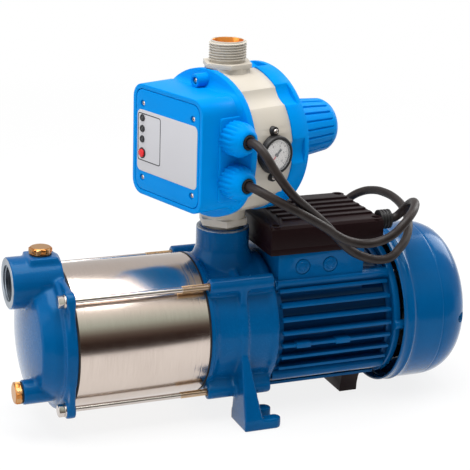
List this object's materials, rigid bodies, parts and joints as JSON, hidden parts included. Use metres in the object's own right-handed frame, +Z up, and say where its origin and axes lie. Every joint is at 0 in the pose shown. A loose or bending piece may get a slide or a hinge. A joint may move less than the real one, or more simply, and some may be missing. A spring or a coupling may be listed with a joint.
{
  "type": "multistage pump",
  "caption": "Horizontal multistage water pump with finned motor, terminal box and a screw-in pressure controller with gauge, cable and plug.",
  "frame": {"origin": "on the floor, under the middle of the pump's length and width", "axes": "+X along the shaft from the suction side to the fan, +Z up along the outlet's axis"},
  "size_m": [0.4264, 0.3314, 0.339],
  "materials": {
    "blue_enamel": "gloss enamel",
    "blue_enamel_aluminium": "gloss enamel",
    "blue_sheet": "gloss enamel",
    "brass": "machined",
    "black_rubber": "matt",
    "stainless_shell": "polished, drawn",
    "stainless": "drawn",
    "zinc_steel": "zinc plated",
    "carbon_black": "lapped carbon",
    "ceramic_white": "lapped ceramic",
    "bearing_steel": "ground",
    "lamination_steel": "stamped sheet",
    "copper": "varnished wire",
    "black_plastic": "moulded",
    "white_plastic": "moulded",
    "grey_plastic": "glass filled, fine grain",
    "bright_blue_plastic": "moulded, satin",
    "label_silver": "printed film",
    "dark_lens": "tinted lens",
    "red_plastic": "moulded",
    "board_green": "lacquered",
    "dial_white": "printed",
    "needle_black": "matt",
    "clear_lens": "clear",
    "cable_black": "satin jacket"
  },
  "bodies": {
    "pump": {"suction_cover": "blue_enamel", "brass_plugs": "brass", "plug_seals": "black_rubber", "shell_gaskets": "black_rubber", "pump_shell": "stainless_shell", "tie_bolts": "zinc_steel", "discharge_bracket": "blue_enamel", "stage_casings": "stainless", "seal_fixed_ring": "ceramic_white", "bearing_outer_rings": "bearing_steel", "motor_housing": "blue_enamel_aluminium", "stator_core": "lamination_steel", "stator_windings": "copper", "rear_shield": "blue_enamel_aluminium", "motor_screws": "zinc_steel", "fan_cover": "blue_sheet", "fan_cover_screws": "zinc_steel", "motor_foot": "black_plastic", "terminal_box": "black_plastic", "terminal_box_lid": "black_plastic", "lid_screws": "zinc_steel", "run_capacitor": "white_plastic", "terminal_block": "white_plastic", "motor_gland": "black_plastic", "controller_body": "grey_plastic", "front_housing": "bright_blue_plastic", "face_plate": "bright_blue_plastic", "face_screws": "zinc_steel", "label_panel": "label_silver", "status_lights": "dark_lens", "circuit_board": "board_green", "rear_cover": "bright_blue_plastic", "rear_cover_screws": "zinc_steel", "gauge_case": "black_plastic", "gauge_dial": "dial_white", "gauge_lens": "clear_lens", "gauge_screws": "zinc_steel", "cable_glands": "bright_blue_plastic", "motor_cable": "cable_black", "mains_cable": "cable_black", "mains_coil": "cable_black", "cable_tie": "black_plastic", "mains_plug": "black_rubber"},
    "rotor": {"rotor_shaft": "stainless", "impellers": "brass", "impeller_nut": "stainless", "seal_rotating_ring": "carbon_black", "water_slinger": "black_rubber", "bearing_inner_rings": "bearing_steel", "rotor_core": "lamination_steel", "cooling_fan": "black_plastic"},
    "bearing_cages": {"bearing_balls": "bearing_steel"},
    "needle": {"gauge_needle": "needle_black"},
    "button": {"restart_button": "red_plastic"},
    "valve": {"flow_valve": "white_plastic"},
    "piston": {"pressure_piston": "black_plastic", "pressure_spring": "zinc_steel"},
    "knob": {"adjuster_knob": "bright_blue_plastic"}
  },
  "joints": [
    {"name": "rotor_spin", "type": "hinge", "parent": "pump", "child": "rotor", "pos_m": [0, 0, 0.08], "axis": [1, 0, 0], "continuous": true},
    {"name": "cage_spin", "type": "hinge", "parent": "pump", "child": "bearing_cages", "pos_m": [0, 0, 0.08], "axis": [1, 0, 0], "continuous": true},
    {"name": "needle_turn", "type": "hinge", "parent": "pump", "child": "needle", "pos_m": [0.01141, -0.06224, 0.249], "axis": [-0.2924, 0.9563, 0], "range_deg": [0, 270]},
    {"name": "restart_press", "type": "slide", "parent": "pump", "child": "button", "axis": [0.9563, 0.2924, 0], "range_m": [0, 0.0015], "stiffness_N_per_m": 400},
    {"name": "valve_lift", "type": "slide", "parent": "pump", "child": "valve", "axis": [0, 0, 1], "range_m": [0, 0.01]},
    {"name": "piston_travel", "type": "slide", "parent": "pump", "child": "piston", "axis": [0.9563, 0.2924, 0], "range_m": [0, 0.003], "stiffness_N_per_m": 2000},
    {"name": "knob_turn", "type": "hinge", "parent": "pump", "child": "knob", "pos_m": [-0.01075, 0, 0.249], "axis": [0.9563, 0.2924, 0], "range_deg": [0, 270]}
  ],
  "couplings": [
    {"joint": "cage_spin", "follows": "rotor_spin", "ratio": 0.4}
  ]
}
